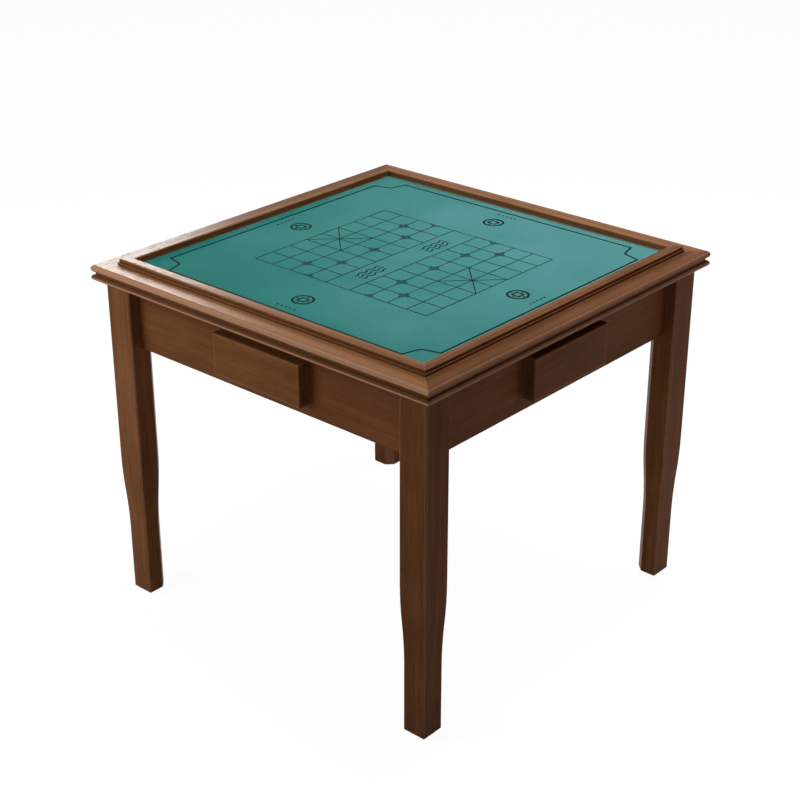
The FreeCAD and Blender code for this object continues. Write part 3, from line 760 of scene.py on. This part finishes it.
# %% Felt finish
FELT_GREEN = (0.040, 0.198, 0.186)
FELT_DEEP = (0.014, 0.160, 0.140)
FELT_PALE = (0.080, 0.256, 0.256)
FELT_TONES = ((0.32, FELT_DEEP), (0.50, FELT_GREEN), (0.70, FELT_PALE))
NAP = {"scale": 1100.0, "detail": 2.0, "rough": 0.65}
LIE = {"scale": 4.5, "detail": 3.0, "rough": 0.55}
SPECK = {"scale": 420.0, "detail": 2.0, "rough": 0.6}
NAP_SHARE = 0.30
LIE_SHARE = 0.40
SPECK_SHARE = 0.30
# Painted light: change of tone from one corner of the mat to the other
PAINTED_LIGHT_LEAN = 0.52
FELT_ROUGH = 0.86
NAP_ROUGH = 0.1
NAP_DEPTH = 0.00025

felt_finish, place = new_finish("green_felt")
nap = place.noise(**NAP)
lie = place.noise(**LIE)
speck = place.noise(**SPECK)
x, y = place.axes()[:2]
# Painted light, paler towards one corner of the mat
painted_light = (x + y) * (PAINTED_LIGHT_LEAN / (4 * FELT_HALF))
tone = nap * NAP_SHARE + lie * LIE_SHARE + speck * SPECK_SHARE + painted_light
felt_sockets = {
    "Base Color": tone.ramp(*FELT_TONES),
    "Roughness": FELT_ROUGH + nap * NAP_ROUGH,
    "Specular IOR Level": 0.03,
    "Sheen Weight": 0.03,
    "Sheen Roughness": 0.45,
    "Sheen Tint": (0.60, 0.90, 0.88, 1.0),
}
close_finish(felt_finish, felt_sockets, nap, NAP_DEPTH)
felt.data.materials.append(felt_finish)

# %% [markdown]
# The mat is printed in black: a frame with notched corners, a board for Chinese chess in the middle, and
# a mark for each of the four seats. A picture of the print could be wrapped on, but its lines would
# blur. Each stroke is drawn here as a ribbon of ink a tenth of a millimetre thick, from a centre line
# and a width. Some strokes that cross lie at slightly different heights, as layers of ink do.

# %% Strokes of ink
INK_THICK = 0.00012
INK_LAYER = 0.00002
INK_SUNK = 0.0002
# A bend so sharp that its mitre would reach out further is cut short
LEAST_MITRE = 0.3
RIBBON_FACES = ((2, 3), (3, 1), (1, 0), (0, 2))


def ink_levels(layer):
    """The heights of a stroke's underside, inside the cloth, and of its face, just over it."""
    return FELT_TOP - INK_SUNK, FELT_TOP + INK_THICK + layer * INK_LAYER


def left_of(a, b):
    """The unit direction to the left of a step from a to b."""
    step = Vector((b[0] - a[0], b[1] - a[1]))
    return Vector((-step.y, step.x)).normalized()


def stroke(mesh, points, width, layer=0, closed=False):
    """A flat ribbon of ink along points, mitred at each bend.

    Each point has four corners: 0 and 1 are in the cloth, and 2 and 3 are over them."""
    points = [Vector(p) for p in points]
    count = len(points)
    rows = []
    for i, point in enumerate(points):
        before = points[i - 1] if i or closed else None
        after = points[(i + 1) % count] if i + 1 < count or closed else None
        steps = [(a, b) for a, b in ((before, point), (point, after)) if a is not None and b is not None]
        sides = [left_of(a, b) for a, b in steps]
        aside = sum(sides, Vector((0.0, 0.0))).normalized()
        aside *= width / 2 / max(aside.dot(sides[0]), LEAST_MITRE)
        ends = (point + aside, point - aside)
        rows.append([mesh.verts.new((*end, level)) for level in ink_levels(layer) for end in ends])
    for i in range(count if closed else count - 1):
        a, b = rows[i], rows[(i + 1) % count]
        for first, second in RIBBON_FACES:
            mesh.faces.new((a[first], a[second], b[second], b[first]))
    if not closed:
        mesh.faces.new((rows[0][0], rows[0][1], rows[0][3], rows[0][2]))
        mesh.faces.new((rows[-1][2], rows[-1][3], rows[-1][1], rows[-1][0]))


# %% Spots and rings of ink
def round_points(centre, radius, sides, turned=0.0):
    """The corners of a regular outline, which is round with many sides."""
    turns = [2 * math.pi * i / sides + turned for i in range(sides)]
    return [(centre[0] + radius * math.cos(t), centre[1] + radius * math.sin(t)) for t in turns]


def disc(mesh, centre, radius, sides=28):
    """A filled spot of ink."""
    points = round_points(centre, radius, sides)
    rims = [[mesh.verts.new((*point, level)) for point in points] for level in ink_levels(0)]
    bridge(mesh, *rims)
    mesh.faces.new(reversed(rims[0]))
    mesh.faces.new(rims[1])


def circle(mesh, centre, radius, width, sides=48, turned=0.0):
    """A ring of ink, or with few sides a square or another regular outline."""
    stroke(mesh, round_points(centre, radius, sides, turned), width, closed=True)


# %% [markdown]
# Ink on felt is never quite black. It soaks down between the fibres, so some of the green shows through.
# A flat black would be simpler, but the print would look like tape laid on the cloth. The noise of the
# nap is used again, so that the ink is thin where the fibres stand.

# %% Ink
INK_FULL = (0.0030, 0.0090, 0.0085)
INK_SOAKED = (0.0070, 0.0240, 0.0220)
INK_TONES = ((0.35, INK_FULL), (0.75, INK_SOAKED))
INK_ROUGH = 0.80
SOAK_ROUGH = 0.1
SOAK_DEPTH = 0.0002

ink, place = new_finish("black_ink")
soak = place.noise(**NAP)
ink_sockets = {
    "Base Color": soak.ramp(*INK_TONES),
    "Roughness": INK_ROUGH + soak * SOAK_ROUGH,
    "Specular IOR Level": 0.02,
}
close_finish(ink, ink_sockets, soak, SOAK_DEPTH)


def printed(name, mesh):
    """Turn the strokes drawn so far into one printed piece on the mat."""
    bmesh.ops.recalc_face_normals(mesh, faces=mesh.faces)
    made = piece(name, mesh, "table")
    made.data.materials.append(ink)
    print("print:", name, len(made.data.polygons), "faces")


# %% [markdown]
# The frame runs just inside the rim. Its corners are notched, an old trick of printers and cabinet makers
# that keeps a square frame from looking like a box. All its points could be listed, but half of one
# notch is enough: the rest is mirrored and turned.

# %% Printed frame
FRAME_HALF = 0.3535
FRAME_LINE = 0.0046
NOTCH_FROM = 0.305
NOTCH_TIP = 0.3145
NOTCH_ROUND = 0.010
NOTCH_DIP = 0.0018
NOTCH_BEND = (0.003, 0.001)
QUARTERS = ((0, -1), (1, 0), (0, 1), (-1, 0))
notch = [
    (FRAME_HALF, NOTCH_FROM),
    (NOTCH_TIP + NOTCH_ROUND, NOTCH_TIP - NOTCH_DIP),
    (NOTCH_TIP + NOTCH_BEND[0], NOTCH_TIP + NOTCH_BEND[1]),
]
notch += [(y, x) for x, y in reversed(notch)]
outline = []
for cos, sin in QUARTERS:
    outline += [(x * cos - y * sin, x * sin + y * cos) for x, y in notch]
border = bmesh.new()
stroke(border, outline, FRAME_LINE, closed=True)
printed("felt_print_frame", border)

# %% [markdown]
# The board has nine files and two halves of five ranks with a river between them. At each end, crossed
# diagonals mark the palace, and small corner ticks mark where the cannons and soldiers start. It could
# be drawn line by line, but files and ranks are all the same cell apart, so loops over them draw it.

# %% Printed board
CELL = 0.0485
RIVER = 0.062
BOARD_LINE = 0.0021
TICK_GAP = 0.0035
TICK_LENGTH = 0.0085
FILES = range(-4, 5)
RANKS = range(5)
SOLDIER_RANK = 1
CANNON_RANK = 2
PALACE_RANK = 2
RANK_LAYER = 1
DIAGONAL_LAYER = 2
BOTH_WAYS = (-1, 1)


def rank_place(half, rank):
    """How far a rank lies from the middle of the river, in one half of the board."""
    return half * (RIVER / 2 + rank * CELL)


def start_ticks(mesh, rank_at, file):
    """Four corner ticks round a crossing, or two at the side of the board."""
    for sx in BOTH_WAYS:
        for sy in BOTH_WAYS:
            if file + sy in FILES:
                bend = (rank_at + sx * TICK_GAP, file * CELL + sy * TICK_GAP)
                along = (bend[0] + sx * TICK_LENGTH, bend[1])
                beside = (bend[0], bend[1] + sy * TICK_LENGTH)
                stroke(mesh, [along, bend, beside], BOARD_LINE)


board = bmesh.new()
board_side = FILES[-1] * CELL
board_end = rank_place(1, RANKS[-1])
starts = [(SOLDIER_RANK, file) for file in FILES[::2]]
starts += [(CANNON_RANK, file) for file in (FILES[1], FILES[-2])]
for file in (FILES[0], FILES[-1]):
    stroke(board, [(-board_end, file * CELL), (board_end, file * CELL)], BOARD_LINE)
for half in BOTH_WAYS:
    bank, end = rank_place(half, 0), rank_place(half, RANKS[-1])
    for file in FILES[1:-1]:
        stroke(board, [(bank, file * CELL), (end, file * CELL)], BOARD_LINE)
    for rank in RANKS:
        rank_at = rank_place(half, rank)
        stroke(board, [(rank_at, -board_side), (rank_at, board_side)], BOARD_LINE, RANK_LAYER)
    for turn in BOTH_WAYS:
        diagonal = [(rank_place(half, PALACE_RANK), -turn * CELL), (end, turn * CELL)]
        stroke(board, diagonal, BOARD_LINE, DIAGONAL_LAYER + turn)
    for rank, file in starts:
        start_ticks(board, rank_place(half, rank), file)
printed("felt_print_board", board)

# %% [markdown]
# The river carries a plain water ornament, three wavy lines in each half. It could be drawn point by
# point, but a wave is a sine curve, so a short loop gives the points of its stroke.

# %% Printed waves
WAVE_LENGTH = 0.024
WAVE_COUNT = 3
WAVE_STEPS = 10
WAVE_RISE = 0.0030
WAVE_GAP = 0.0110
WAVE_LINE = 0.0030
WAVE_MIDDLE = 0.098
water = bmesh.new()
for half in BOTH_WAYS:
    for row in (-1, 0, 1):
        points = []
        for i in range(WAVE_COUNT * WAVE_STEPS + 1):
            along = (i / WAVE_STEPS - WAVE_COUNT / 2) * WAVE_LENGTH
            rise = WAVE_RISE * math.sin(2 * math.pi * i / WAVE_STEPS)
            points.append((row * WAVE_GAP + rise, half * WAVE_MIDDLE + along))
        stroke(water, points, WAVE_LINE)
printed("felt_print_waves", water)

# %% [markdown]
# Each seat is marked by an old round coin with a square hole, a common sign of luck on games tables, and
# a row of small diamonds between it and the frame. Each of them could have a drawing of its own, but
# rings, squares and diamonds all come from the same regular outline, with many sides or with four.

# %% Printed seat marks
SEAT_PLACE = 0.288
COIN_RING = 0.0205
COIN_LINE = 0.0050
COIN_HOLE = 0.0115
HOLE_LINE = 0.0040
PETAL_PLACE = 0.0140
PETAL = 0.0024
ROW_PLACE = 0.334
ROW_GAP = 0.011
ROW_COUNT = 5
DIAMOND = 0.0032
seats = bmesh.new()
for out_x, out_y in QUARTERS:
    centre = (SEAT_PLACE * out_x, SEAT_PLACE * out_y)
    circle(seats, centre, COIN_RING, COIN_LINE)
    circle(seats, centre, COIN_HOLE, HOLE_LINE, sides=4, turned=math.pi / 4)
    for petal_x, petal_y in QUARTERS:
        disc(seats, (centre[0] + PETAL_PLACE * petal_x, centre[1] + PETAL_PLACE * petal_y), PETAL)
    for i in range(ROW_COUNT):
        aside = (i - (ROW_COUNT - 1) / 2) * ROW_GAP
        spot = (ROW_PLACE * out_x - aside * out_y, ROW_PLACE * out_y + aside * out_x)
        disc(seats, spot, DIAMOND, sides=4)
printed("felt_print_seats", seats)
